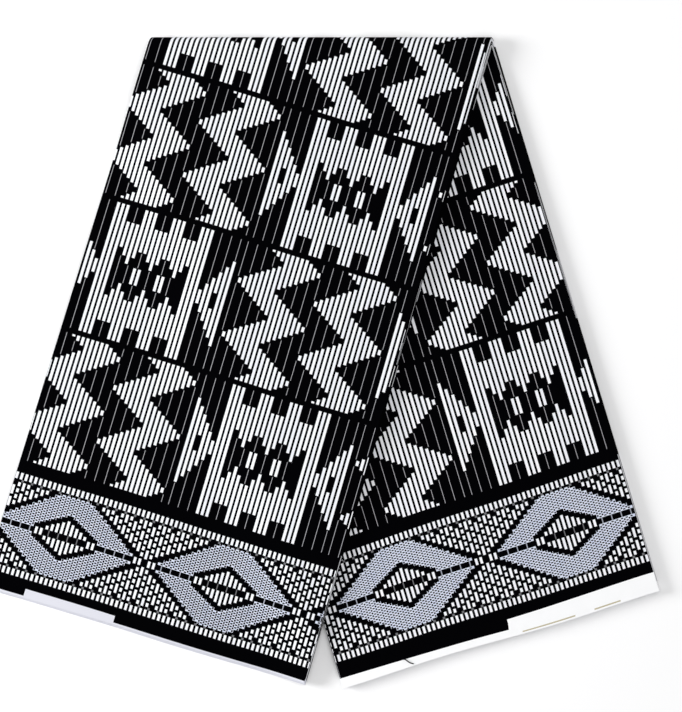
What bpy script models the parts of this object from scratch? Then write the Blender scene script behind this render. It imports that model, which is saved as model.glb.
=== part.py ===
"""A cut length of printed cotton, folded into a flat strip that is folded over on a slant.

The cloth is folded back and forth, selvedge over selvedge, into a strip one fold wide.
The strip is then folded over at its middle, so that two legs splay like a V turned upside
down: the left leg lies on the right one near the fold, and drops to the surface beside it.

Metres, +Z up. The cloth lies on z = 0 with the slanted fold towards +Y, and the origin is
under the middle of its box.
"""
import math

import bmesh
import bpy

# The strip
FOLD_WIDTH = 0.305          # one fold of the cloth, 12 inches
CLOTH_WIDTH = 1.170         # selvedge to selvedge, which is the strip's length
LAYERS = 6                  # an even number, so both cut ends lie on one side
SHEET = 0.0010              # thickness of a layer
LAYER_GAP = 0.00035         # air between two layers

# How the strip is folded over
SPLAY = math.radians(16.8)  # each leg's angle to the line square to the fold
CREASE_RADIUS = 0.00050     # the innermost layer turns around this
RIGHT_LEG_LONGER = 0.004    # the right leg's length beyond the left leg's

# How loosely it lies
FLARE = {"left": 0.037, "right": 0.018}     # extra width at a leg's end, as a share
END_STAGGER = {"left": 0.0030, "right": 0.0015}   # the inner layers reach this much further
END_WAVE = {"left": 0.0004, "right": 0.0010}      # height of the slow wave in a selvedge
WAVES_ACROSS = 1.5          # waves from one side of a leg to the other
SLIP = {"left": 0.0004, "right": 0.0005}          # sideways slip from layer to layer, at its end
SLIP_STEP = 2.1             # radians of slip from one layer to the next

# Where the left leg comes down beside the right one
DROP_MARGIN = 0.012         # it stays up this far past the right leg's edge
DROP_RUN = 0.055            # and reaches the surface after this much more

# Steps of the mesh
COLUMNS = 10                # across a layer
TURN_STEPS = 4              # around a fold between two layers
FOLD_STEPS = 6              # around the slanted fold
LEG_STEPS = {"left": 14, "right": 3}

PITCH = SHEET + LAYER_GAP
STACK = LAYERS * SHEET + (LAYERS - 1) * LAYER_GAP
AXIS_HEIGHT = STACK + CREASE_RADIUS         # height of the line that the strip turns around
LIFT = STACK + 2 * CREASE_RADIUS            # underside of the left leg where it lies on the right
MIDDLE_RADIUS = CREASE_RADIUS + STACK / 2
LEGS_TOGETHER = CLOTH_WIDTH - math.pi * MIDDLE_RADIUS
LEG_LENGTH = {"left": (LEGS_TOGETHER - RIGHT_LEG_LONGER) / 2,
              "right": (LEGS_TOGETHER + RIGHT_LEG_LONGER) / 2}
SIDE = {"left": -1, "right": 1}

CLOTH_COLOUR = (0.27, 0.27, 0.29, 1.0)      # black and white print, seen from far off
CLOTH_ROUGHNESS = 0.8


def clear_scene():
    """Removes whatever the open file holds."""
    for thing in list(bpy.data.objects):
        bpy.data.objects.remove(thing, do_unlink=True)


def smoothstep(low, high, value):
    """0 below low, 1 above high, and a smooth S between them."""
    share = min(max((value - low) / (high - low), 0.0), 1.0)
    return share * share * (3 - 2 * share)


def middle_line():
    """Middle of the folded section, cut end to cut end: (across, height, normal) at each point.

    Heights are counted from the line that the strip turns around. Layers run right and left
    in turn, and a half circle joins each one to the next.
    """
    half = FOLD_WIDTH / 2 - PITCH / 2
    line = []
    for layer in range(LAYERS):
        way = 1 if layer % 2 == 0 else -1
        height = CREASE_RADIUS + SHEET / 2 + layer * PITCH
        for column in range(COLUMNS + 1):
            across = way * half * (2 * column / COLUMNS - 1)
            line.append((across, height, (0.0, way)))
        if layer < LAYERS - 1:
            for step in range(1, TURN_STEPS):
                turn = math.pi * step / TURN_STEPS
                across = way * (half + PITCH / 2 * math.sin(turn))
                rise = PITCH / 2 * (1 - math.cos(turn))
                line.append((across, height + rise, (-math.sin(turn), way * math.cos(turn))))
    return line


def section_outline():
    """Closed outline of the folded section: up one face of the sheet and back down the other."""
    line = middle_line()
    faces = []
    for side in (1, -1):
        faces.append([(across + side * SHEET / 2 * normal[0], height + side * SHEET / 2 * normal[1])
                      for across, height, normal in line])
    return faces[0] + faces[1][::-1]


def slip_at(leg, height):
    """How far the layer at a height has slipped back at a leg's end, in small uneven steps."""
    layer = (height - CREASE_RADIUS) / PITCH
    return SLIP[leg] * (layer + math.sin(SLIP_STEP * layer))


def leg_point(leg, share, across, height):
    """Plan position on a leg, share of the way from the slanted fold to the selvedge.

    A layer further out uses more of its length to turn, so each leg's layers lie a little
    further over, and their folds show as steps along its sides.
    """
    side = SIDE[leg]
    taken = math.sin(SPLAY) * math.pi / 2 * height
    shifted = across * (1 + FLARE[leg] * share) + side * taken
    shifted -= side * slip_at(leg, height) * share
    start = (side * across + taken) * math.tan(SPLAY)
    inner = 1 - (height - CREASE_RADIUS) / STACK
    wave = math.cos(2 * math.pi * WAVES_ACROSS * (across / FOLD_WIDTH + 0.5))
    end = LEG_LENGTH[leg] + END_STAGGER[leg] * inner + END_WAVE[leg] * wave
    along = start + (end - start) * share
    x = side * along * math.sin(SPLAY) + shifted * math.cos(SPLAY)
    y = -along * math.cos(SPLAY) + side * shifted * math.sin(SPLAY)
    return x, y


def right_leg_edge():
    """Two plan points on the line that bounds the right leg on its left."""
    top = leg_point("right", 0.0, -FOLD_WIDTH / 2, CREASE_RADIUS)
    bottom = leg_point("right", 1.0, -FOLD_WIDTH / 2, CREASE_RADIUS)
    return top, bottom


def drop(x, y):
    """How far the left leg has come down at a plan position: 0 over the right leg, 1 beside it."""
    (top_x, top_y), (bottom_x, bottom_y) = right_leg_edge()
    length = math.hypot(bottom_x - top_x, bottom_y - top_y)
    outside = ((bottom_x - top_x) * (top_y - y) - (bottom_y - top_y) * (top_x - x)) / length
    return smoothstep(DROP_MARGIN, DROP_MARGIN + DROP_RUN, outside)


def fold_point(turn, across, height):
    """A point on the half circle around the slanted fold: turn runs from -90 to 90 degrees."""
    x = across / math.cos(SPLAY) + height * turn * math.tan(SPLAY)
    y = height * math.cos(turn)
    return x, y, AXIS_HEIGHT - height * math.sin(turn)


def left_ring(share, outline):
    """The section on the left leg. The drop is the same for all layers, so they stay parallel."""
    ring = []
    for across, height in outline:
        x, y = leg_point("left", share, across, height)
        down = drop(*leg_point("left", share, across, CREASE_RADIUS))
        ring.append((x, y, AXIS_HEIGHT + height - LIFT * down))
    return ring


def right_ring(share, outline):
    """The section on the right leg, flat on the surface with its outermost layer down."""
    return [(*leg_point("right", share, across, height), AXIS_HEIGHT - height)
            for across, height in outline]


def cloth_rings(outline):
    """The section at each step along the strip, from the left leg's selvedge to the right's."""
    rings = []
    for step in range(LEG_STEPS["left"], 0, -1):
        rings.append(left_ring(step / LEG_STEPS["left"], outline))
    for step in range(FOLD_STEPS + 1):
        turn = math.pi * (step / FOLD_STEPS - 0.5)
        rings.append([fold_point(turn, across, height) for across, height in outline])
    for step in range(1, LEG_STEPS["right"] + 1):
        rings.append(right_ring(step / LEG_STEPS["right"], outline))
    return rings


def centred(rings):
    """Moves the rings so that the origin is under the middle of their box."""
    shift = []
    for axis in (0, 1):
        values = [point[axis] for ring in rings for point in ring]
        shift.append((min(values) + max(values)) / 2)
    floor = min(point[2] for ring in rings for point in ring)
    return [[(x - shift[0], y - shift[1], z - floor) for x, y, z in ring] for ring in rings]


def halved(corners, rising):
    """Two triangles for four corners, cut from the first corner if rising, else from the second."""
    a, b, c, d = corners
    if rising:
        return (a, b, c), (a, c, d)
    return (a, b, d), (b, c, d)


def loft(name, rings, section, material, collection):
    """A closed solid through the rings, whose ends are strips of quads across the sheet.

    Every layer's faces are halved the same way as seen from above, whichever way the layer
    runs, so that neighbouring layers stay parallel where the leg drops.
    """
    mesh = bmesh.new()
    lines = [[mesh.verts.new(point) for point in ring] for ring in rings]
    count = len(section)
    rising = [section[(index + 1) % count][0] > section[index][0] for index in range(count)]
    for first, second in zip(lines, lines[1:]):
        for index in range(count):
            following = (index + 1) % count
            corners = (first[index], first[following], second[following], second[index])
            for triangle in halved(corners, rising[index]):
                mesh.faces.new(triangle)
    for line in (lines[0], lines[-1]):
        for index in range(count // 2 - 1):
            mesh.faces.new((line[index], line[index + 1], line[-index - 2], line[-index - 1]))
    bmesh.ops.recalc_face_normals(mesh, faces=mesh.faces)
    data = bpy.data.meshes.new(name)
    mesh.to_mesh(data)
    mesh.free()
    data.materials.append(material)
    data.shade_smooth()
    data.set_sharp_from_angle(angle=math.radians(50))
    solid = bpy.data.objects.new(name, data)
    collection.objects.link(solid)
    return solid


def cloth_material():
    """Matt printed cotton."""
    material = bpy.data.materials.new("printed_cotton")
    material.use_nodes = True
    shader = material.node_tree.nodes["Principled BSDF"]
    shader.inputs["Base Color"].default_value = CLOTH_COLOUR
    shader.inputs["Roughness"].default_value = CLOTH_ROUGHNESS
    shader.inputs["Metallic"].default_value = 0.0
    return material


def main():
    clear_scene()
    collection = bpy.data.collections.new("folded_wax_print_cloth")
    bpy.context.scene.collection.children.link(collection)
    section = section_outline()
    rings = centred(cloth_rings(section))
    loft("folded_cloth", rings, section, cloth_material(), collection)


main()
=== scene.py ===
"""Looks of a length of printed cotton, folded back and forth and then over on a slant.

The cloth is one closed sheet of eighteen layers, where the solid has six thicker ones. The
print is cut into the two faces that show. Its marks are small rectangles of ink, measured in
bars across a leg, and in the same unit along it from the leg's selvedge.

Metres, +Z up, with the slanted fold towards +Y.
"""
import math
import random
from collections import namedtuple
from functools import partial
from itertools import groupby

import bmesh
import bpy
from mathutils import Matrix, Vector


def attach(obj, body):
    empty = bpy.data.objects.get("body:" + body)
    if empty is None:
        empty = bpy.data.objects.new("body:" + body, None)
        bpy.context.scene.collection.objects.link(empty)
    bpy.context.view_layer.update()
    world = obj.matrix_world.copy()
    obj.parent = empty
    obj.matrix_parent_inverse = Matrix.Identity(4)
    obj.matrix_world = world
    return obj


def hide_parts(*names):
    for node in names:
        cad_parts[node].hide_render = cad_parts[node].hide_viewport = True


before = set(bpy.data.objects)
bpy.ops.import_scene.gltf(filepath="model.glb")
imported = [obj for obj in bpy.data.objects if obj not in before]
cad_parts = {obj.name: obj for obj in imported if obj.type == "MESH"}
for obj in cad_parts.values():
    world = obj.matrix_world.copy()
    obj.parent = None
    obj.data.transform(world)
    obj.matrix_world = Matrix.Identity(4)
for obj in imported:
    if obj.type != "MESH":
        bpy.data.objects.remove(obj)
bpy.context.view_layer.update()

# The strip, as the solid has it
FOLD_WIDTH = 0.305          # one fold of the cloth
CLOTH_WIDTH = 1.170         # selvedge to selvedge, which is the strip's length
STACK = 0.00775             # height of all layers of a leg
SPLAY = math.radians(16.8)  # each leg's angle to the line square to the fold
CREASE_RADIUS = 0.00050     # the innermost layer turns around this
RIGHT_LEG_LONGER = 0.004
FLARE = {"left": 0.037, "right": 0.018}  # extra width at a leg's end, as a share
END_STAGGER = {"left": 0.0030, "right": 0.0015}  # the inner layers reach this much further
END_WAVE = {"left": 0.0004, "right": 0.0010}  # height of the slow wave in a selvedge
WAVES_ACROSS = 1.5          # waves from one side of a leg to the other
SOLID_PITCH = 0.00135       # from one of the solid's layers to the next
SLIP = {"left": 0.0004, "right": 0.0005}  # sideways slip over that height, at a leg's end
SLIP_STEP = 2.1             # radians of slip over that height
DROP_MARGIN = 0.012         # the left leg stays up this far past the right leg's edge
DROP_RUN = 0.055            # and reaches the surface after this much more
ORIGIN = (-0.0011658, -0.2970586)  # middle of the solid's box, before it was centred

AXIS_HEIGHT = STACK + CREASE_RADIUS  # of the line that the strip turns around
LIFT = STACK + 2 * CREASE_RADIUS  # underside of the left leg on the right one
OUTER = CREASE_RADIUS + STACK
LEGS_TOGETHER = CLOTH_WIDTH - math.pi * (CREASE_RADIUS + STACK / 2)
LEG_LENGTH = {"left": (LEGS_TOGETHER - RIGHT_LEG_LONGER) / 2,
              "right": (LEGS_TOGETHER + RIGHT_LEG_LONGER) / 2}
SIDE = {"left": -1, "right": 1}

# The sheet that shows
LAYERS = 18
SHEET = 0.00030             # thickness of a layer
PITCH = (STACK - SHEET) / (LAYERS - 1)
HALF = FOLD_WIDTH / 2 - PITCH / 2  # from a layer's middle to where its fold starts
SHOWN_LAYER = {"left": LAYERS - 1, "right": 0}

# How unevenly it lies
RAGGED = 0.0005             # how far the layers' selvedges lie beyond each other
RAGGED_WAVE = 0.0003        # and how far each one waves
RAGGED_FROM = 0.92          # share of a leg's length after which they do
THICKER = 0.00020           # what the lowest and the highest layer have over the others
THICKER_OVER = 0.012        # share of the stack in which they gain it

# Waves in the heights of the layers: height, half waves up the stack, radians in a metre to
# the right and ahead, and radians at the start
SETTLING = [(0.00035, 1, 17, -9, 1.1), (0.00022, 2, 13, 21, 2.0), (0.00015, 4, 25, -15, 0.0)]

# Swells of the whole cloth: the same without the half waves
SWELL = 0.0125              # share of the cloth's height that a size of 1 stands for
SWELLS = [(1.0, 19, 11, 0.6), (0.6, -23, 31, 2.1), (0.4, 47, 37, 0.0)]

# Steps of its mesh
COLUMNS = 24                # across an inner layer
TURN_STEPS = 3              # around a fold between two layers
LEFT_STEPS = 30             # along the left leg
FOLD_STEPS = 8              # around the slanted fold
INNER_FOLD_STEPS = 4        # and around its inner face
RIGHT_STEPS = 8             # along the right leg
HEM_KNOTS = (0.0068, 2.985)  # steps where the inner layers' bare hems end
HEM_INK_ENDS = (0.007, 2.984)  # and just past them

# The print, in bars across a leg and in the same unit along it
BARS = 66
UNIT = FOLD_WIDTH / BARS
PRINT_LENGTH = 250.8        # selvedge to selvedge
PRINT_EDGES = tuple((side * HALF / FOLD_WIDTH + 0.5) * BARS for side in (-1, 1))
STRETCH = 1.037             # the right leg's print is longer by this factor
BAR_OFFSET = {"left": 0.4, "right": 0.6}  # a bar's middle lies this far past its number
BAR_HALF = 0.285            # half a white bar of a row
BORDER_BAR_HALF = 0.265     # and of a border
GAP_HALF = 0.5 - BORDER_BAR_HALF
HAIR = 0.05                 # half a hairline of a row
NARROWEST = 0.012           # no strip of the mesh is narrower

# How far the print lies off its even place on a leg: place along it, then units at its first
# and at its last bar
DRIFT = {"left": [(0, 0, 0), (4, 0, -0.82), (20, -0.1, -0.75), (60, 0.05, -0.6),
                  (95, 0.05, -0.3), (108, -0.1, -0.4), (122, -0.1, -0.35), (140, 0, 0)],
         "right": [(0, -0.4, -0.4), (12, -0.4, -0.3), (18, -0.8, -0.15), (25, -1.05, -0.1),
                   (35, -0.5, -0.1), (60, 0, -0.2), (90, -0.1, -0.15), (115, -0.3, 0),
                   (130, 0, 0)]}

# Inks
BLACK, WHITE, LAVENDER, GREY = "black", "white", "lavender", "grey"
DIM = "dim"                 # hairlines that hardly show
HAZE = "haze"               # a lozenge's halftone where its dots are left out
SHADED_SELVEDGE, MARGIN = "selvedge", "margin"  # bare cloth at the left and at the right selvedge; the left one's darker bluish tone is painted shade
DASH = "dash"               # short brown lines on the margin

# Bare cloth at the selvedges
HEM = 0.4                   # the print starts here
MARGIN_START = -2.0         # the right leg's margin lies before its print
LEFT_PATCH = (8.5, 26.8, 0, 1.9)  # bars and places of a bare patch
PATCH_START = 35.2          # bar where the right leg's patch begins
PATCH_END = 1.25            # and its last place
DASHES = [(37.5, 48.5), (52.5, 58)]
DASH_PLACES = (-1.72, -1.5)

# Width of the margin in units, by the bar
MARGIN_WIDTH = 2.3          # at the patch
MARGIN_GROWS = (0.9, 12, 52)  # by how much, and from bar to bar
BAND_MARGIN_WIDTH = 2.1     # at the black band
BAND_MARGIN_SHRINKS = (0.55, 0, 24)
BAND_EASE = 3.0             # the print goes over from one to the other in this length

# Rows
FIRST_ROW = 40.6            # middle of the row next to the border
ROW_PITCH = 28.25
LEFT_ROW_PITCH = 28.27
ROW_EDGE = 13.95            # a row's region reaches this far from its middle
ROW_REACH = 13.6            # and its white this far
LAYOUT = 67                 # bars after which a row repeats
COMB_END = 20               # last bar of a comb block, whose first is 0
DIAMOND_BARS = (26, 61)     # widest bars of the half diamonds on its two sides
ZIGZAG_BARS = (28, 59)      # first and last bar of the zigzags
ZIGZAG_WIDTH = 16           # bars of one zigzag

# Rows that show, from the border up: the layout's first bar, and how the row is fitted
# across the leg, by a scale about its middle and a shift in bars
LEFT_ROWS = [(36, 0.9865, 0.10), (3, 0.990, 0.04), (37, 0.9863, 0.20), (4, 0.992, -0.18)]
RIGHT_ROWS = [(41, 1.018, 0.12), (8, 1.0026, -0.14), (42, 0.9904, -0.16)]

# Rows that don't show, of which none is fitted
UNDER_RIGHT_ROWS = [(phase, 1, 0) for phase in (20, 51, 9)]
UNDER_LEFT_ROWS = [(phase, 1, 0) for phase in (9, 42, 8, 41)]

# White stretches, as distances from the row's middle, of a comb block's bars from its edge to
# its middle, and of a half diamond's from the widest
COMB = [[(0, 13.6)], [(0, 13.6)], [(0, 13.6)], [(5.1, 10.35)], [(3.6, 10.35)], [(2.1, 10.35)],
        [(3.6, 13.6)], [(0, 1.65), (5.1, 13.6)], [(0, 1.65), (5.1, 13.6)], [(3.6, 10.35)],
        [(2.1, 10.35)]]
DIAMOND = [[(0, 8.85)], [(0, 7.35)], [(1.65, 5.95)], [(0, 4.45)], [(0, 2.95)], [(0, 1.4)]]
ZIGZAG_TIP = 0.5            # half of its outermost bar's stretches
ZIGZAG_STEP = 0.65          # what that gains from a bar to the next
ZIGZAG_PITCH = 11.3
SHORTEST_WHITE = 0.1

# Hairlines of a row
COMB_LINED = (4, 10, 16)    # a comb's bars with a hairline beyond their white
COMB_LINE_START = 10.6
COMB_MIDDLE_LINE = 1.85     # half the hairline in its middle bar
COMB_GAPS_LINED = (3, 5, 7, 12, 14)
COMB_GAPS_REACH = 5.5       # only hairlines whose middle lies within this
DIAMOND_LINED = (22, 24, 26, 61, 63, 65)
DIAMOND_LINES_FROM = 1.5    # and beyond this
ZIGZAG_GAPS_LINED = (-1, 1, 3, 5, 9, 11, 13, 15)
HAIR_CLEARANCE = 0.25       # between a hairline and white
SHORTEST_HAIR = 0.5

# Border: combs along both sides, eyes, which are lozenges of halftone around a black one, and
# bricks between two eyes. Distances along the leg are from the border's middle.
BORDER_MIDDLE = 14.1
BORDER_END = 25.4           # its region ends here
UNDER_BORDER_REACH = 11.4   # how far a border's region reaches on the underside
LEFT_EYES = (13, 47, 81)    # middle bars
RIGHT_EYES = (-17, 17, 51, 85)
UNDER_LEFT_EYES = (-17, 17, 51, 84)
UNDER_RIGHT_EYES = (13, 46, 80)
LEFT_BORDER_FIT = (0.966, -1.20)  # scale and shift, as in a row
RIGHT_BORDER_FIT = (0.9945, 0.12)
BORDER_COMB = (8.85, 10.3)
EYE_REACH = 8.4             # half the height of an eye's shoulders
EYE_SHOULDER = 3            # bars from its middle to their ends
EYE_SIDE = (8.0, 0.69)      # half height after them, and what it loses in a bar
EYE_COLUMNS = 14            # bars from its middle to its tip
CORE = (4.7, 0.53)          # half height of its black middle, and what it loses in a bar
CORE_COLUMNS = 7
TAIL_HALF = 0.57            # half height of the black line to its tips
EYE_BARS = [(0.65, 3.6), (0.65, 3.1), (0.65, 2.6), (0.65, 2.1), (0.65, 1.5), (0, 0.75),
            (0, 0.75)]      # white in the black middle, from its middle bar on
DOT_HALF = 0.17             # half of a dot on a bar; one on a gap is as wide as the gap
DOT_STEP = 0.55
DOT_MARGIN = 0.1            # from a dot's middle to the halftone's edge
DOT_HEIGHT = {"left": 0.42, "right": 0.33}
SQUARES = (7.9, 6.62, 5.36, 4.1, 2.84, 1.57)  # middles of an odd bar's bricks
SQUARE_HALF = 0.43
LONG_BRICKS = {0: [(5.6, 7.6), (3.1, 5.1), (0.8, 2.7)], 2: [(6.7, 8.4), (4.3, 6.2), (1.9, 3.9)],
               4: [(5.6, 7.6), (3.1, 5.1)], 6: [(6.7, 8.4), (4.3, 6.2)], 8: [(5.6, 7.6)],
               10: [(6.9, 8.2)]}
MIDDLE_BRICK = 0.7          # half of the brick that crosses the border's middle
BRICK_CENTRE = 17           # bars from an eye's middle to the middle between two
WHITE_TRIM = 0.05           # white stretches end this much earlier

# Hairlines of a border, in every second gap from this one beside an eye's middle
HAIR_GAP = {"left": 0.5, "right": -0.5}
HAIR_WIDTH = 0.2
COMB_HAIR = (8.4, 8.85)
EYE_HAIR_HALF = 0.6
CORE_HAIRS = 4              # one crosses the core nearer to its middle than this
TAIL_HAIRS = 7              # and the tails further from it than this

# Rough print of what lies inside
FOLD_DASHES = (10, 12, 14)  # folds between layers that show as white lines
FOLD_DASH = (124, 7)        # their middle's place, and half their length
INNER_ROW = 12.4            # place of a row of dashes

# The mesh's greatest steps along a region
FINE_STEP = 3.6             # where the cloth bends
ROW_STEP = 3.4
UNDER_BORDER_STEP = 4
FLAT_STEP = 28
NEAREST_STEP = 0.6          # a step this near to a mark's end is left out
NEAREST_FOLD = 0.03         # and so is a knot of the slanted fold

# Each ink's colours, one of which a mark takes by chance
COLOURS = {
    BLACK: [(0.0007, 0.0007, 0.0012)],
    WHITE: [(0.83, 0.84, 0.88), (0.80, 0.81, 0.855), (0.86, 0.865, 0.895)],
    LAVENDER: [(0.64, 0.68, 0.79), (0.60, 0.645, 0.77), (0.67, 0.705, 0.80)],
    HAZE: [(0.33, 0.35, 0.41)],
    GREY: [(0.42, 0.42, 0.45)],
    DIM: [(0.14, 0.14, 0.15)],
    # Bare cloth darkened and blued by painted shade, unlike the bright margin; the left selvedge,
    # its patch, the layers' cut edges and the left hems take it
    SHADED_SELVEDGE: [(0.67, 0.675, 0.74)],
    MARGIN: [(0.94, 0.945, 0.955)],
    DASH: [(0.50, 0.45, 0.31)],
}
SEED = 7
BLACK_FINISH = (0.75, 0.008)  # roughness and gloss
PALE_FINISH = (0.72, 0.2)
THREAD_COLOUR = (0.006, 0.006, 0.009)

# The weave
WEAVE_PITCH = 0.00036       # from a thread to the next
WEAVE_SHIFT = 0.0127        # between the weaves of neighbouring lines of the mesh
SLUB_SCALE = 900
SLUB_ROUGHNESS = 0.16
WEAVE_BUMP = (0.35, 0.00005)  # strength and distance
UNEVEN_SCALE = 26
UNEVEN_BUMP = (0.5, 0.0012)

# The loose thread: bar, place in the print, and height over the cloth
THREAD_PATH = [(13.0, 0.50, 0.0), (13.2, 0.54, 0.0002), (13.4, 0.45, 0.0004),
               (13.6, 0.2, 0.0006), (13.8, -0.15, 0.0006), (14.0, -0.55, 0.0005),
               (14.25, -0.93, 0.0003), (14.55, -1.25, 0.0001), (14.85, -1.48, 0.0)]
THREAD_RADIUS = 0.00050
THREAD_SIDES = 6

# The studio
FLOOR_HALF = 12.0
FLOOR_DROP = 0.0001         # the floor lies this much below the cloth
FLOOR_COLOUR = (0.98, 0.98, 0.985)
WORLD_STRENGTH = 0.39
PHOTO_SIZE = (682, 712)     # pixels
FOLD_WIDTH_PX = 325.5       # one fold's width in the photograph
FOLD_MIDDLE_PX = (322, 37)  # where it shows the middle of the slanted fold
CAMERA_HEIGHT = 2.4
REFERENCE_HEIGHT = 0.010    # the photograph's pixels are measured at this height
SENSOR = 36.0               # millimetres

# Round lights that shine at the origin: name, place, size and power
LIGHTS = [("key", (-2.3, 0.2, 1.05), 1.2, 60), ("overhead", (0.3, 0.2, 2.9), 2.6, 36.5)]

# A mark's first and last bar, its first and last place, and its ink
Mark = namedtuple("Mark", "first last low high ink")

# A region of a printed face: its marks, first and last place, and its mesh's greatest step
Region = namedtuple("Region", "marks low high spacing")

# A printed face: its height in the stack, and functions of a bar that give a place's step, the
# places of the slanted fold, and the bar's order along the folded section
PrintedFace = namedtuple("PrintedFace", "height step_at fold_at order_at")


def smoothstep(low, high, value):
    """0 below low, 1 above high, and a smooth S between them."""
    share = min(max((value - low) / (high - low), 0.0), 1.0)
    return share * share * (3 - 2 * share)


# Place of a point of the cloth

def slip_at(leg, height):
    """How far the layer at a height has slipped back at a leg's end, in small uneven steps."""
    layer = (height - CREASE_RADIUS) / SOLID_PITCH
    return SLIP[leg] * (layer + math.sin(SLIP_STEP * layer))


def layer_end(leg, layer, across):
    """How far a layer's selvedge lies beyond its even place: a scatter from layer to layer and
    a slow wave across. The layer that shows has none."""
    if layer == SHOWN_LAYER[leg]:
        return 0.0
    uneven = math.sin(5.1 * layer * layer + 2.3 * layer + SIDE[leg]) - 0.6
    cycles = 1.3 + 0.4 * (layer % 3)
    slow = math.sin(2 * math.pi * cycles * across / FOLD_WIDTH + 2.4 * layer)
    return RAGGED * uneven + RAGGED_WAVE * slow


def beyond_even(leg, share, across, height):
    """How far a point lies beyond its even place. It fades from the selvedge inwards, and
    changes from layer to layer only in the air between them."""
    depth = (height - CREASE_RADIUS) / PITCH
    layer = math.floor(depth + 0.001)
    change = smoothstep(SHEET / PITCH + 0.01, 1.0, depth - layer)
    low = layer_end(leg, min(layer, LAYERS - 1), across)
    high = layer_end(leg, min(layer + 1, LAYERS - 1), across)
    return (low + (high - low) * change) * smoothstep(RAGGED_FROM, 1.0, share)


def settled(height, x, y):
    """Height in the stack, whose inner layers lie closer in one place and looser in another."""
    depth = (height - CREASE_RADIUS) / STACK
    thicker = (1 - math.exp(-depth / THICKER_OVER)) * (1 - depth) ** 2
    thicker -= (1 - math.exp((depth - 1) / THICKER_OVER)) * depth ** 2
    height += THICKER * thicker
    for size, halves, right, ahead, start in SETTLING:
        height += size * math.sin(halves * math.pi * depth) * math.sin(right * x + ahead * y + start)
    return height


def leg_reach(leg, across, height):
    """Distance of the slanted fold and of the selvedge from the middle of the fold."""
    taken = math.sin(SPLAY) * math.pi / 2 * height
    start = (SIDE[leg] * across + taken) * math.tan(SPLAY)
    inner = 1 - (height - CREASE_RADIUS) / STACK
    wave = math.cos(2 * math.pi * WAVES_ACROSS * (across / FOLD_WIDTH + 0.5))
    end = LEG_LENGTH[leg] + END_STAGGER[leg] * inner + END_WAVE[leg] * wave
    return start, end


def leg_point(leg, share, across, height, beyond=0.0):
    """Plan position on a leg, share of the way from the slanted fold to the selvedge."""
    side = SIDE[leg]
    start, end = leg_reach(leg, across, height)
    taken = math.sin(SPLAY) * math.pi / 2 * height
    shifted = across * (1 + FLARE[leg] * share) + side * taken
    shifted -= side * slip_at(leg, height) * share
    along = start + (end - start) * share + beyond
    x = side * along * math.sin(SPLAY) + shifted * math.cos(SPLAY)
    y = -along * math.cos(SPLAY) + side * shifted * math.sin(SPLAY)
    return x, y


EDGE_TOP = leg_point("right", 0.0, -FOLD_WIDTH / 2, CREASE_RADIUS)
EDGE_BOTTOM = leg_point("right", 1.0, -FOLD_WIDTH / 2, CREASE_RADIUS)


def drop(x, y):
    """How far the left leg has come down at a plan position: 0 over the right leg, 1 beside it."""
    run_x = EDGE_BOTTOM[0] - EDGE_TOP[0]
    run_y = EDGE_BOTTOM[1] - EDGE_TOP[1]
    outside = (run_x * (EDGE_TOP[1] - y) - run_y * (EDGE_TOP[0] - x)) / math.hypot(run_x, run_y)
    return smoothstep(DROP_MARGIN, DROP_MARGIN + DROP_RUN, outside)


def place(step, across, height):
    """Point of the cloth. Its step runs from 0 to 1 along the left leg, from its selvedge, to 2
    around the slanted fold, and to 3 along the right leg."""
    if step < 1:
        beyond = beyond_even("left", 1 - step, across, height)
        x, y = leg_point("left", 1 - step, across, height, beyond)
        down = drop(*leg_point("left", 1 - step, across, CREASE_RADIUS, beyond))
        z = AXIS_HEIGHT + settled(height, x, y) - LIFT * down
    elif step <= 2:
        turn = math.pi * (step - 1.5)
        x = across / math.cos(SPLAY) + height * turn * math.tan(SPLAY)
        near = settled(height, x, 0.0)
        y = near * math.cos(turn)
        z = AXIS_HEIGHT - near * math.sin(turn)
    else:
        beyond = beyond_even("right", step - 2, across, height)
        x, y = leg_point("right", step - 2, across, height, beyond)
        z = AXIS_HEIGHT - settled(height, x, y)
    slow = sum(size * math.sin(right * x + ahead * y + start)
               for size, right, ahead, start in SWELLS)
    return x - ORIGIN[0], y - ORIGIN[1], z * (1 + SWELL * slow)


def lengths(across, height):
    """Lengths of a line of the cloth: on the left leg, around the fold and on the right leg."""
    left_start, left_end = leg_reach("left", across, height)
    right_start, right_end = leg_reach("right", across, height)
    return left_end - left_start, math.pi * height / math.cos(SPLAY), right_end - right_start


def run_at(step, across, height):
    """Length of cloth from the left selvedge to a step."""
    left, around, right = lengths(across, height)
    return (left * min(step, 1) + around * min(max(step - 1, 0), 1)
            + right * max(step - 2, 0))


# Where the print lies

def across_at(bar):
    return (bar / BARS - 0.5) * FOLD_WIDTH


def unit_lengths(bar, height):
    """The same lengths as above at a bar, in units."""
    return [length / UNIT for length in lengths(across_at(bar), height)]


def fitted(marks, scale, shift):
    """Marks drawn closer or wider across the leg, about its middle, and shifted by some bars."""
    middle = BARS / 2
    return [mark._replace(first=middle + (mark.first - middle) * scale + shift,
                          last=middle + (mark.last - middle) * scale + shift) for mark in marks]


def drift_at(leg, bar, place_along):
    """How far the print lies off its even place along the leg, in units. Past the table's
    ends it stays the same."""
    table = DRIFT[leg]
    place_along = min(max(place_along, table[0][0]), table[-1][0])
    for (low, *start), (high, *end) in zip(table, table[1:]):
        if place_along <= high:
            share = (place_along - low) / (high - low)
            first, last = (a + (b - a) * share for a, b in zip(start, end))
            return first + (last - first) * bar / BARS


def right_margin(bar):
    """Width of the right leg's margin in units: to the edge of its black band or patch, and to
    the even place of its print's start."""
    size, low, high = MARGIN_GROWS
    even = MARGIN_WIDTH + size * smoothstep(low, high, bar)
    if bar > PATCH_START - 0.01:
        return even, even
    size, low, high = BAND_MARGIN_SHRINKS
    return BAND_MARGIN_WIDTH - size * smoothstep(low, high, bar), even


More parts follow.
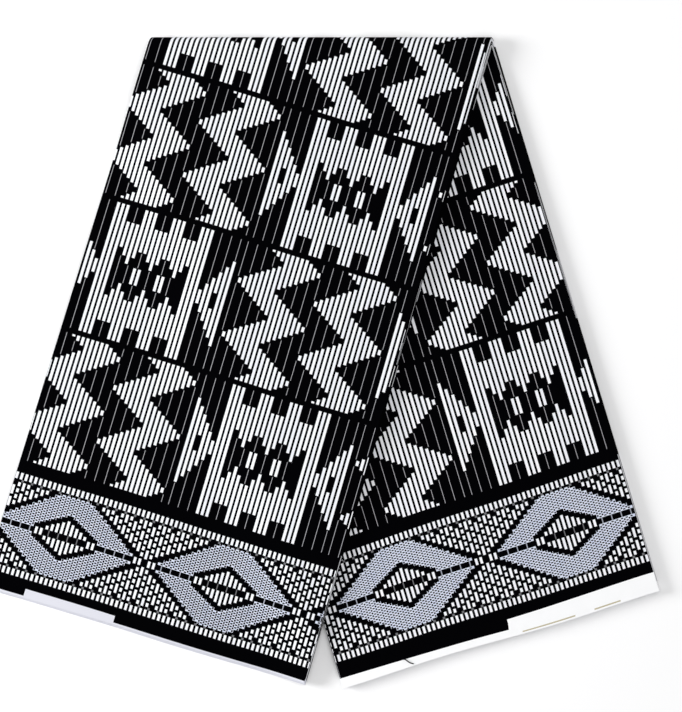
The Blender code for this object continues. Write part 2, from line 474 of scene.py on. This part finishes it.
def outer_step(bar, place_along):
    """Step on the outer face for a place in the print, counted from the left selvedge."""
    left, around, _ = unit_lengths(bar, OUTER)
    along = place_along + drift_at("left", bar, place_along)
    if along <= left:
        return along / left
    if along <= left + around:
        return 1 + (along - left) / around
    return min(2 + (along - left - around) / (PRINT_LENGTH - left - around), 3)


def inner_step(bar, place_along):
    """Step on the inner face for a place in the print, counted from the right selvedge."""
    _, around, right = unit_lengths(bar, CREASE_RADIUS)
    edge, first = right_margin(bar)
    if place_along < HEM:
        along = edge * (place_along - MARGIN_START) / (HEM - MARGIN_START)
    else:
        first += drift_at("right", bar, place_along)
        along = edge + (first - edge) * smoothstep(HEM, HEM + BAND_EASE, place_along)
        along += (place_along - HEM) * STRETCH
    if along <= right:
        return 3 - along / right
    if along <= right + around:
        return 2 - (along - right) / around
    last = first + (PRINT_LENGTH - HEM) * STRETCH
    return max(1 - (along - right - around) / (last - right - around), 0)


def outer_fold(bar):
    """Places in the print of the steps around the fold, on the outer face."""
    left, around, _ = unit_lengths(bar, OUTER)
    return [left + around * n / FOLD_STEPS for n in range(FOLD_STEPS + 1)]


def inner_fold(bar):
    """The same on the inner face, where the fold is tight."""
    _, around, right = unit_lengths(bar, CREASE_RADIUS)
    _, first = right_margin(bar)
    return [HEM + (right + around * n / INNER_FOLD_STEPS - first) / STRETCH
            for n in range(INNER_FOLD_STEPS + 1)]


# Marks of a row

def both_ways(stretches):
    """Stretches given by distance from the middle, on both sides of it."""
    out = []
    for low, high in stretches:
        if low == 0:
            out.append((-high, high))
        else:
            out += [(-high, -low), (low, high)]
    return sorted(out)


def zigzag(index, mirrored):
    """White stretches of one of a zigzag's bars."""
    if mirrored:
        index = ZIGZAG_WIDTH - 1 - index
    if index < ZIGZAG_WIDTH // 2:
        half, middles = ZIGZAG_TIP + ZIGZAG_STEP * index, (-1.5, -0.5, 0.5, 1.5)
    else:
        half, middles = ZIGZAG_TIP + ZIGZAG_STEP * (ZIGZAG_WIDTH - 1 - index), (-1, 0, 1)
    out = []
    for middle in middles:
        low = max(middle * ZIGZAG_PITCH - half, -ROW_REACH)
        high = min(middle * ZIGZAG_PITCH + half, ROW_REACH)
        if high - low > SHORTEST_WHITE:
            out.append((low, high))
    return out


def bar_white(column, mirrored):
    """White stretches of a bar of a row, by its column in the layout."""
    column %= LAYOUT
    if column <= COMB_END:
        return both_ways(COMB[min(column, COMB_END - column)])
    if column <= DIAMOND_BARS[0]:
        return both_ways(DIAMOND[DIAMOND_BARS[0] - column])
    if ZIGZAG_BARS[0] <= column <= ZIGZAG_BARS[1]:
        return zigzag((column - ZIGZAG_BARS[0]) % ZIGZAG_WIDTH, mirrored)
    if column >= DIAMOND_BARS[1]:
        return both_ways(DIAMOND[column - DIAMOND_BARS[1]])
    return []


def rest_of(stretches):
    """What the stretches leave of a row, a little short of them."""
    out = []
    low = -ROW_REACH
    for start, end in sorted(stretches) + [(ROW_REACH + HAIR_CLEARANCE, ROW_REACH + 1)]:
        if start - HAIR_CLEARANCE - low > SHORTEST_HAIR:
            out.append((low, start - HAIR_CLEARANCE))
        low = max(low, end + HAIR_CLEARANCE)
    return out


def lying(stretches, low, high):
    """The stretches whose middle lies so far from the row's middle."""
    return [s for s in stretches if low <= abs(s[0] + s[1]) / 2 < high]


def hairlines(column, mirrored):
    """Hairlines on a bar or on the gap after it: offset from the bar's middle, and stretches."""
    column %= LAYOUT
    own = bar_white(column, mirrored)
    pair = own + bar_white(column + 1, mirrored)
    if column in COMB_LINED:
        lines = both_ways([(COMB_LINE_START, ROW_REACH)])
        if column == COMB_END // 2:
            lines.append((-COMB_MIDDLE_LINE, COMB_MIDDLE_LINE))
        return 0, lines
    if column in COMB_GAPS_LINED:
        return 0.5, lying(rest_of(pair), 0, COMB_GAPS_REACH)
    if column in DIAMOND_LINED:
        return 0, lying(rest_of(own), DIAMOND_LINES_FROM, ROW_REACH)
    first, last = ZIGZAG_BARS
    if first - 1 <= column <= last:
        index = (column - first) % ZIGZAG_WIDTH if column >= first else -1
        if (ZIGZAG_WIDTH - 2 - index if mirrored else index) in ZIGZAG_GAPS_LINED:
            return 0.5, rest_of(pair)
    return 0, []


def row_marks(middle, phase, offset, mirrored, fine):
    """Marks of a row about its middle place. Hairlines are left out where it isn't fine."""
    marks = []
    for bar in range(-2, BARS + 3):
        x = bar + offset
        for low, high in bar_white(bar - phase, mirrored):
            marks.append(Mark(x - BAR_HALF, x + BAR_HALF, middle + low, middle + high, WHITE))
        if not fine:
            continue
        shift, stretches = hairlines(bar - phase, mirrored)
        for low, high in stretches:
            marks.append(Mark(x + shift - HAIR, x + shift + HAIR, middle + low, middle + high, GREY))
    return marks


# Marks of a border

def brick_stretches(column):
    """White bricks of a bar, by its distance from the middle between two eyes."""
    out = [(0, MIDDLE_BRICK)] if column in (1, 2) else []
    if column % 2:
        middles = SQUARES[:max(len(SQUARES) - (column - 1) // 2, 0)]
        return out + [(d - SQUARE_HALF, d + SQUARE_HALF) for d in middles]
    return out + LONG_BRICKS.get(column, [])


def trimmed(stretches):
    """Stretches by distance from the middle, on both sides of it and a little shorter."""
    return both_ways([(low + WHITE_TRIM if low else 0, high - WHITE_TRIM)
                      for low, high in stretches])


def dot_marks(x, half, middle, core, reach, height):
    """Black dots of the halftone on a bar or a gap, between its core and its reach."""
    wide, shift = (DOT_HALF, 0.0) if half == BORDER_BAR_HALF else (half, 0.5)
    tall = height / 2 * DOT_HALF / wide
    count = int(reach / DOT_STEP) + 1
    marks = []
    for number in range(-count, count + 1):
        d = (number + shift) * DOT_STEP
        if core < abs(d) < reach - DOT_MARGIN:
            marks.append(Mark(x - wide, x + wide, middle + d - tall, middle + d + tall, BLACK))
    return marks


def eye_marks(x, half, near, far, middle, dot):
    """Halftone and black of an eye, on a bar or on a gap between two. near and far are the
    bars' distances from its middle, in bars."""
    side, loss = EYE_SIDE
    reach = EYE_REACH if far <= EYE_SHOULDER else side - loss * (far - EYE_SHOULDER - 1)
    core = CORE[0] - CORE[1] * near if near < CORE_COLUMNS else TAIL_HALF
    ink = LAVENDER if dot else HAZE
    marks = [Mark(x - half, x + half, middle - reach, middle + reach, ink)]
    if dot:
        marks += dot_marks(x, half, middle, core, reach, dot)
    marks.append(Mark(x - half, x + half, middle - core, middle + core, BLACK))
    return marks


def hair_marks(low, high, middle, distance):
    """Hairlines in a gap, by its distance from an eye's middle: beside the combs, and across
    the eye's black."""
    marks = [Mark(low, high, middle + start, middle + end, DIM)
             for start, end in both_ways([COMB_HAIR])]
    across = (high - HAIR_WIDTH, high, middle - EYE_HAIR_HALF, middle + EYE_HAIR_HALF)
    if distance < CORE_HAIRS:
        marks.append(Mark(*across, DIM))
    elif TAIL_HAIRS < distance < EYE_COLUMNS:
        marks.append(Mark(*across, HAZE))
    return marks


def border_marks(middle, eyes, offset, dot, hair_gap=None):
    """Marks of a border. It has dots and hairlines only where dot, a dot's height, is given."""
    marks = []
    half = BORDER_BAR_HALF
    for bar in range(-2, BARS + 5):
        x = bar + offset
        column, after = (min(abs(b - eye) for eye in eyes) for b in (bar, bar + 1))
        if column <= EYE_COLUMNS:
            marks += eye_marks(x, half, column, column, middle, dot)
        if max(column, after) <= EYE_COLUMNS:
            near, far = sorted((column, after))
            marks += eye_marks(x + 0.5, GAP_HALF, near, far, middle, dot)
        white = brick_stretches(BRICK_CENTRE - column) + EYE_BARS[column:column + 1]
        for low, high in trimmed(white + [BORDER_COMB]):
            marks.append(Mark(x - half, x + half, middle + low, middle + high, WHITE))
        gap = min((bar + 0.5 - eye for eye in eyes), key=abs)
        if dot and (gap - hair_gap) % 2 == 0:
            marks += hair_marks(x + half, x + 1 - half, middle, abs(gap))
    return marks


# The mesh

POINTS = []                 # the sheet's vertices
WEAVE_PLACES = []           # each vertex's place in the flat cloth
FACES = []
INKS = []                   # each face's ink
SPAN = COLUMNS + TURN_STEPS  # lines from a layer to the next


class Line:
    """A line of the cloth from selvedge to selvedge.

    Its order counts the lines along the folded section. Its knots are (step, vertex), and the
    places of a line of a printed face are (place in the print, vertex).
    """

    def __init__(self, order, across, height):
        self.order = order
        self.across = across
        self.height = height
        self.knots = []
        self.places = []

    def add_knot(self, step):
        POINTS.append(place(step, self.across, self.height))
        WEAVE_PLACES.append((self.across + self.order * WEAVE_SHIFT,
                             run_at(step, self.across, self.height), 0.0))
        self.knots.append((step, len(POINTS) - 1))
        return len(POINTS) - 1


def face(corners, ink):
    if len(set(corners)) == 3:
        FACES.append(corners)
        INKS.append(ink)


def zipper(first, second, ink):
    """Triangles between two lists of (position, vertex); ink is a name or a function."""
    i = j = 0
    while i < len(first) - 1 or j < len(second) - 1:
        take_first = j == len(second) - 1
        if i < len(first) - 1 and j < len(second) - 1:
            take_first = first[i + 1][0] <= second[j + 1][0]
        if take_first:
            corners = (first[i], first[i + 1], second[j])
            i += 1
        else:
            corners = (first[i], second[j + 1], second[j])
            j += 1
        shade = ink(sum(c[0] for c in corners) / 3) if callable(ink) else ink
        face(tuple(c[1] for c in corners), shade)


def cut_bars(marks):
    """Bars where a printed region is cut: its two edges, and the sides of marks between them."""
    low, high = PRINT_EDGES
    sides = [x for mark in marks for x in (mark.first, mark.last) if low < x < high]
    bars = sorted({round(x, 4) for x in [low, high] + sides})
    kept = [bars[0]]
    for bar in bars[1:]:
        if bar - kept[-1] > NARROWEST:
            kept.append(bar)
    kept[-1] = bars[-1]
    return kept


def inked_stretches(marks, low, high):
    """Stretches (start, end, ink) of a strip. Where marks overlap, the later one shows."""
    ends = [p for mark in marks for p in (mark.low, mark.high) if low < p < high]
    cuts = sorted({low, high} | {round(p, 4) for p in ends})
    stretches = []
    for start, end in zip(cuts, cuts[1:]):
        middle = (start + end) / 2
        ink = next((m.ink for m in reversed(marks) if m.low < middle < m.high), BLACK)
        if stretches and stretches[-1][2] == ink:
            stretches[-1] = (stretches[-1][0], end, ink)
        else:
            stretches.append((start, end, ink))
    return stretches


def strip_stretches(region, bars):
    """The stretches of ink between each two of a region's bars."""
    out = []
    for left, right in zip(bars, bars[1:]):
        middle = (left + right) / 2
        marks = [m for m in region.marks if m.first < middle < m.last
                 and m.high > region.low and m.low < region.high]
        out.append(inked_stretches(marks, region.low, region.high))
    return out


def print_region(region, shown):
    """Builds one region of a printed face, and returns its lines as (bar, line)."""
    low, high = region.low, region.high
    bars = cut_bars(region.marks)
    colours = strip_stretches(region, bars)
    count = max(round((high - low) / region.spacing), 1)
    stations = [low + (high - low) * n / count for n in range(count + 1)]
    made = []
    for index, bar in enumerate(bars):
        places = {low, high}
        for stretches in colours[max(index - 1, 0):index + 1]:
            places |= {s[0] for s in stretches}
        places |= {f for f in shown.fold_at(bar) if low < f < high
                   and min(abs(f - p) for p in places) > NEAREST_FOLD}
        places |= {s for s in stations if min(abs(s - p) for p in places) > NEAREST_STEP}
        line = Line(shown.order_at(bar), across_at(bar), shown.height)
        for place_along in sorted(places):
            line.places.append((place_along, line.add_knot(shown.step_at(bar, place_along))))
        made.append((bar, line))
    for (_, first), (_, second), stretches in zip(made, made[1:], colours):
        for start, end, ink in stretches:
            zipper(*([p for p in line.places if start <= p[0] <= end]
                     for line in (first, second)), ink)
    return made


def printed_face(regions, shown):
    """Builds a printed face from its regions, and returns its two edge lines and the rows of
    (order, vertex) at its two ends."""
    made = [print_region(region, shown) for region in regions]
    for before, after in zip(made, made[1:]):
        zipper([(bar, line.places[-1][1]) for bar, line in before],
               [(bar, line.places[0][1]) for bar, line in after], BLACK)
    ends = [[(line.order, line.places[end][1]) for _, line in made[end]] for end in (0, -1)]
    sides = []
    for end in (0, -1):
        line = made[0][end][1]
        line.knots = sorted(knot for region in made for knot in region[end][1].knots)
        sides.append(line)
    return sides, ends


def ink_on_layers(order, step):
    """Rough print of what lies inside: black layers, with scattered dashes on their folds."""
    # The left hems take the bare cloth's painted-shade tone, the right ones the bright margin
    if step < HEM_INK_ENDS[0]:
        return SHADED_SELVEDGE
    if step > HEM_INK_ENDS[1]:
        return MARGIN
    if order % SPAN < COLUMNS:
        return BLACK
    layer = int(order // SPAN)
    along = run_at(step, 0.0, OUTER) / UNIT
    if layer in FOLD_DASHES and abs(along - FOLD_DASH[0]) < FOLD_DASH[1]:
        return WHITE
    row = round((along - INNER_ROW) / ROW_PITCH)
    seldom = (layer * 7 + row * 5) % 4 == 0
    distance = along - INNER_ROW - row * ROW_PITCH
    stretches = bar_white(layer * 29 + row * 13, False)
    white = seldom and any(low < distance < high for low, high in stretches)
    return WHITE if white else BLACK


def coarse_strip(first, second, ink_at):
    """Two triangles a step between neighbouring inner lines, cut along the drop's contours."""
    rising = first.across < second.across
    for (step, a), (after, b), (_, c), (_, d) in zip(first.knots, first.knots[1:],
                                                     second.knots, second.knots[1:]):
        ink = ink_at((step + after) / 2)
        for corners in ((a, b, c), (b, d, c)) if rising else ((a, b, d), (a, d, c)):
            face(corners, ink)


def inner_line(order, across, height):
    """A line that isn't printed, with knots at even steps and at the ends of its hems."""
    line = Line(order, across, height)
    steps = [0.0, HEM_KNOTS[0]] + [n / LEFT_STEPS for n in range(1, LEFT_STEPS + 1)]
    steps += [1 + n / FOLD_STEPS for n in range(1, FOLD_STEPS + 1)]
    steps += [2 + n / RIGHT_STEPS for n in range(1, RIGHT_STEPS)] + [HEM_KNOTS[1], 3.0]
    for step in steps:
        line.add_knot(step)
    return line


def layer_lines(layer, side):
    """Lines across one side of a layer. Layers run right and left in turn."""
    way = 1 if layer % 2 == 0 else -1
    height = CREASE_RADIUS + SHEET / 2 + layer * PITCH + side * way * SHEET / 2
    return [inner_line(layer * SPAN + column, way * HALF * (2 * column / COLUMNS - 1), height)
            for column in range(COLUMNS + 1)]


def turn_lines(layer, side):
    """Lines around one side of the half circle that joins a layer to the next one up."""
    way = 1 if layer % 2 == 0 else -1
    middle = CREASE_RADIUS + SHEET / 2 + layer * PITCH
    lines = []
    for step in range(1, TURN_STEPS):
        turn = math.pi * step / TURN_STEPS
        across = way * (HALF + (PITCH - side * way * SHEET) / 2 * math.sin(turn))
        height = (middle + PITCH / 2 * (1 - math.cos(turn))
                  + side * SHEET / 2 * way * math.cos(turn))
        lines.append(inner_line(layer * SPAN + COLUMNS + step, across, height))
    return lines


def first_order(bar):
    """Order of a bar's line on the innermost layer."""
    return (across_at(bar) / HALF + 1) / 2 * COLUMNS


def last_order(bar):
    """Order of a bar's line on the outermost layer, which runs the other way."""
    return (LAYERS - 1) * SPAN + (1 - (across_at(bar) / HALF + 1) / 2) * COLUMNS


def build_cloth():
    """Fills the lists of the mesh with one closed sheet."""
    outer = PrintedFace(OUTER, outer_step, outer_fold, last_order)
    inner = PrintedFace(CREASE_RADIUS, inner_step, inner_fold, first_order)
    outer_sides, outer_ends = printed_face(outer_regions(), outer)
    inner_sides, inner_ends = printed_face(inner_regions(), inner)
    printed = {(0, -1): inner_sides, (LAYERS - 1, -1): outer_sides[::-1]}
    sheet_sides = {1: [], -1: []}
    for layer in range(LAYERS):
        for side in (1, -1):
            sheet_sides[side] += printed.get((layer, side)) or layer_lines(layer, side)
            if layer < LAYERS - 1:
                sheet_sides[side] += turn_lines(layer, side)
    join_lines(sheet_sides, inner_sides + outer_sides)
    close_end(sheet_sides, 0, inner_ends[1] + outer_ends[0])
    close_end(sheet_sides, -1, inner_ends[0] + outer_ends[1])


def join_lines(sheet_sides, printed):
    """Surfaces between neighbouring lines, but for two printed ones, and the cut edges."""
    for lines in sheet_sides.values():
        for first, second in zip(lines, lines[1:]):
            ink_at = partial(ink_on_layers, (first.order + second.order) / 2)
            count = (first in printed) + (second in printed)
            if count == 0:
                coarse_strip(first, second, ink_at)
            elif count == 1:
                zipper(first.knots, second.knots, ink_at)
    for end in (0, -1):
        # The cut edges at both selvedges take the bare cloth's painted-shade tone
        zipper(sheet_sides[1][end].knots, sheet_sides[-1][end].knots, SHADED_SELVEDGE)


def close_end(sheet_sides, end, printed):
    """Strip across the sheet's thickness at a selvedge."""
    front = [(line.order, line.knots[end][1]) for line in sheet_sides[1]]
    back = {line.order: line.knots[end][1] for line in sheet_sides[-1]}
    back.update(dict(printed))
    # The strip takes the bare cloth's painted-shade tone
    zipper(front, sorted(back.items()), SHADED_SELVEDGE)


# The print's regions

def row_regions(rows, first, pitch, offset, mirrored, fine, spacing):
    """Regions of rows (phase, scale, shift) that follow each other from a first middle place."""
    regions = []
    for number, (phase, scale, shift) in enumerate(rows):
        middle = first + number * pitch
        marks = fitted(row_marks(middle, phase, offset, mirrored, fine), scale, shift)
        regions.append(Region(marks, middle - ROW_EDGE, middle + ROW_EDGE, spacing))
    return regions


def under_border(eyes, offset, spacing):
    """The border of an underside, which ends at the print's last place."""
    middle = PRINT_LENGTH - BORDER_MIDDLE
    marks = border_marks(middle, eyes, offset, None)
    # The strip at the selvedge takes the bare cloth's painted-shade tone
    marks.append(Mark(0, BARS, PRINT_LENGTH - HEM, PRINT_LENGTH, SHADED_SELVEDGE))
    return Region(marks, middle - UNDER_BORDER_REACH, PRINT_LENGTH, spacing)


def outer_regions():
    """The outer face: the left leg's print, around the fold, and the right leg's underside."""
    offset = BAR_OFFSET["left"]
    # The left hem and its bare patch take the bare cloth's painted-shade tone
    marks = [Mark(0, BARS, 0, HEM, SHADED_SELVEDGE), Mark(*LEFT_PATCH, SHADED_SELVEDGE)]
    marks += fitted(border_marks(BORDER_MIDDLE, LEFT_EYES, offset, DOT_HEIGHT["left"],
                                 HAIR_GAP["left"]), *LEFT_BORDER_FIT)
    regions = [Region(marks, 0.0, BORDER_END, FINE_STEP)]
    regions += row_regions(LEFT_ROWS, FIRST_ROW, LEFT_ROW_PITCH, offset, False, True, ROW_STEP)
    first = PRINT_LENGTH - FIRST_ROW - (len(UNDER_RIGHT_ROWS) - 1) * ROW_PITCH
    regions += row_regions(UNDER_RIGHT_ROWS, first, ROW_PITCH, offset, False, False, FLAT_STEP)
    return regions + [under_border(UNDER_RIGHT_EYES, offset, FLAT_STEP)]


def inner_regions():
    """The inner face: the right leg's print, the inside of the fold, and the left's underside."""
    offset = BAR_OFFSET["right"]
    marks = [Mark(0, BARS, MARGIN_START, HEM, MARGIN), Mark(PATCH_START, BARS, 0, PATCH_END, MARGIN)]
    marks += [Mark(first, last, *DASH_PLACES, DASH) for first, last in DASHES]
    marks += fitted(border_marks(BORDER_MIDDLE, RIGHT_EYES, offset, DOT_HEIGHT["right"],
                                 HAIR_GAP["right"]), *RIGHT_BORDER_FIT)
    regions = [Region(marks, MARGIN_START, BORDER_END, FLAT_STEP)]
    regions += row_regions(RIGHT_ROWS, FIRST_ROW, ROW_PITCH, offset, True, True, FLAT_STEP)
    first = FIRST_ROW + len(RIGHT_ROWS) * ROW_PITCH
    regions += row_regions(UNDER_LEFT_ROWS, first, ROW_PITCH, offset, True, False, FINE_STEP)
    return regions + [under_border(UNDER_LEFT_EYES, offset, UNDER_BORDER_STEP)]


# Materials

def fill(node, values):
    """Sets a node's inputs by name."""
    for name, value in values.items():
        node.inputs[name].default_value = value


def new_material(name, values):
    """A material and its shader, with these values."""
    material = bpy.data.materials.new(name)
    material.use_nodes = True
    shader = material.node_tree.nodes["Principled BSDF"]
    fill(shader, values)
    return material, shader


def math_node(tree, operation, first, second=None):
    """Output of a Math node, whose inputs are numbers or other nodes' outputs."""
    node = tree.nodes.new("ShaderNodeMath")
    node.operation = operation
    for socket, value in zip(node.inputs, (first, second)):
        if isinstance(value, (int, float)):
            socket.default_value = value
        elif value is not None:
            tree.links.new(value, socket)
    return node.outputs[0]


def noise(tree, where, scale, detail):
    node = tree.nodes.new("ShaderNodeTexNoise")
    fill(node, {"Scale": scale, "Detail": detail})
    tree.links.new(where, node.inputs["Vector"])
    return node.outputs[0]


def bump(tree, height, strength, distance, normal=None):
    node = tree.nodes.new("ShaderNodeBump")
    fill(node, {"Strength": strength, "Distance": distance})
    tree.links.new(height, node.inputs["Height"])
    if normal:
        tree.links.new(normal, node.inputs["Normal"])
    return node.outputs[0]


def cotton(name, colour, roughness, gloss):
    """Printed plain weave: threads and slubs in the bump, and unevenness in the roughness."""
    material, shader = new_material(name, {
        "Base Color": (*colour, 1.0), "Specular IOR Level": gloss, "Sheen Weight": gloss / 10,
        "Sheen Roughness": 0.5})
    tree = material.node_tree
    attribute = tree.nodes.new("ShaderNodeAttribute")
    attribute.attribute_name = "thread_place"
    where = attribute.outputs["Vector"]
    parts = tree.nodes.new("ShaderNodeSeparateXYZ")
    tree.links.new(where, parts.inputs[0])
    turns = [math_node(tree, "MULTIPLY", parts.outputs[axis], math.pi / WEAVE_PITCH)
             for axis in (0, 1)]
    weave = math_node(tree, "MULTIPLY", *(math_node(tree, "SINE", turn) for turn in turns))
    slubs = noise(tree, where, SLUB_SCALE, 3)
    rough = math_node(tree, "ADD", math_node(tree, "MULTIPLY", slubs, SLUB_ROUGHNESS), roughness)
    tree.links.new(rough, shader.inputs["Roughness"])
    fine = bump(tree, math_node(tree, "ADD", weave, slubs), *WEAVE_BUMP)
    broad = bump(tree, noise(tree, where, UNEVEN_SCALE, 2), *UNEVEN_BUMP, fine)
    tree.links.new(broad, shader.inputs["Normal"])
    return material


def chosen_slots(slots):
    """Each face's material slot: for each run of faces of one ink, one of its slots by chance."""
    pick = random.Random(SEED)
    chosen = []
    for ink, run in groupby(INKS):
        chosen += [pick.choice(slots[ink])] * len(list(run))
    return chosen


# The pieces

def add_object(name, data):
    """An object of the scene, with this mesh, light or camera."""
    thing = bpy.data.objects.new(name, data)
    bpy.context.scene.collection.objects.link(thing)
    return thing


def add_piece(name, data, places):
    """An object from a closed mesh, whose vertices keep their places in the weave."""
    attribute = data.attributes.new("thread_place", "FLOAT_VECTOR", "POINT")
    attribute.data.foreach_set("vector", [value for point in places for value in point])
    work = bmesh.new()
    work.from_mesh(data)
    bmesh.ops.recalc_face_normals(work, faces=work.faces)
    work.to_mesh(data)
    work.free()
    data.shade_smooth()
    return add_object(name, data)


def make_cloth():
    """The folded sheet, with a material for each colour."""
    build_cloth()
    data = bpy.data.meshes.new("printed_cloth")
    data.from_pydata(POINTS, [], FACES)
    slots = {}
    for ink, colours in COLOURS.items():
        finish = BLACK_FINISH if ink == BLACK else PALE_FINISH
        slots[ink] = []
        for number, colour in enumerate(colours, 1):
            slots[ink].append(len(data.materials))
            data.materials.append(cotton(f"cotton_{ink}_{number}", colour, *finish))
    data.polygons.foreach_set("material_index", chosen_slots(slots))
    cloth = add_piece("printed_cloth", data, WEAVE_PLACES)
    data.set_sharp_from_angle(angle=math.radians(50))
    return cloth


def make_loose_thread():
    """A black thread that has come out of the right leg's margin and lies on it."""
    middle = []
    for bar, along, lift in THREAD_PATH:
        x, y, z = place(inner_step(bar, along), across_at(bar), CREASE_RADIUS)
        middle.append(Vector((x, y, z + THREAD_RADIUS + lift)))
    points = []
    for number, point in enumerate(middle):
        ahead = middle[min(number + 1, len(middle) - 1)] - middle[max(number - 1, 0)]
        side = ahead.cross(Vector((0, 0, 1))).normalized()
        up = side.cross(ahead).normalized()
        for step in range(THREAD_SIDES):
            turn = 2 * math.pi * step / THREAD_SIDES
            points.append(point + THREAD_RADIUS * (math.cos(turn) * side + math.sin(turn) * up))
    faces = []
    for ring in range(len(middle) - 1):
        for step in range(THREAD_SIDES):
            a = ring * THREAD_SIDES + step
            b = ring * THREAD_SIDES + (step + 1) % THREAD_SIDES
            faces.append((a, b, b + THREAD_SIDES, a + THREAD_SIDES))
    last = (len(middle) - 1) * THREAD_SIDES
    faces.append(tuple(range(THREAD_SIDES)))
    faces.append(tuple(last + step for step in reversed(range(THREAD_SIDES))))
    data = bpy.data.meshes.new("loose_thread")
    data.from_pydata(points, [], faces)
    data.materials.append(cotton("cotton_thread", THREAD_COLOUR, *BLACK_FINISH))
    return add_piece("loose_thread", data, points)


# Floor, light and camera

def make_floor():
    data = bpy.data.meshes.new("floor")
    corners = [(x * FLOOR_HALF, y * FLOOR_HALF, 0) for x, y in ((-1, -1), (1, -1), (1, 1), (-1, 1))]
    data.from_pydata(corners, [], [(0, 1, 2, 3)])
    material, _ = new_material("pale_floor", {
        "Base Color": (*FLOOR_COLOUR, 1.0), "Roughness": 0.9, "Specular IOR Level": 0.1})
    data.materials.append(material)
    floor = add_object("floor", data)
    floor.location.z = -FLOOR_DROP


def make_light(name, location, size, power):
    data = bpy.data.lights.new(name, "AREA")
    data.shape = "DISK"
    data.size = size
    data.energy = power
    light = add_object(name, data)
    light.location = location
    light.rotation_euler = (-Vector(location)).to_track_quat("-Z", "Y").to_euler()


def make_world():
    world = bpy.data.worlds.new("studio")
    world.use_nodes = True
    fill(world.node_tree.nodes["Background"], {"Color": (1, 1, 1, 1), "Strength": WORLD_STRENGTH})
    bpy.context.scene.world = world
    bpy.context.scene.view_settings.view_transform = "Standard"


def make_camera():
    """Looks straight down, and its frame is the photograph's."""
    pixel = FOLD_WIDTH / FOLD_WIDTH_PX
    width, height = PHOTO_SIZE
    data = bpy.data.cameras.new("camera")
    data.sensor_fit = "VERTICAL"
    data.sensor_height = SENSOR
    data.lens = SENSOR * (CAMERA_HEIGHT - REFERENCE_HEIGHT) / (height * pixel)
    data.clip_end = 50
    camera = add_object("camera", data)
    camera.location = ((width / 2 - FOLD_MIDDLE_PX[0]) * pixel - ORIGIN[0],
                       OUTER - (height / 2 - FOLD_MIDDLE_PX[1]) * pixel - ORIGIN[1],
                       CAMERA_HEIGHT)
    bpy.context.scene.camera = camera


cloth = make_cloth()
thread = make_loose_thread()
for piece in (cloth, thread):
    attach(piece, "root")
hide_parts("folded_cloth")

make_floor()
for light in LIGHTS:
    make_light(*light)
make_world()
make_camera()
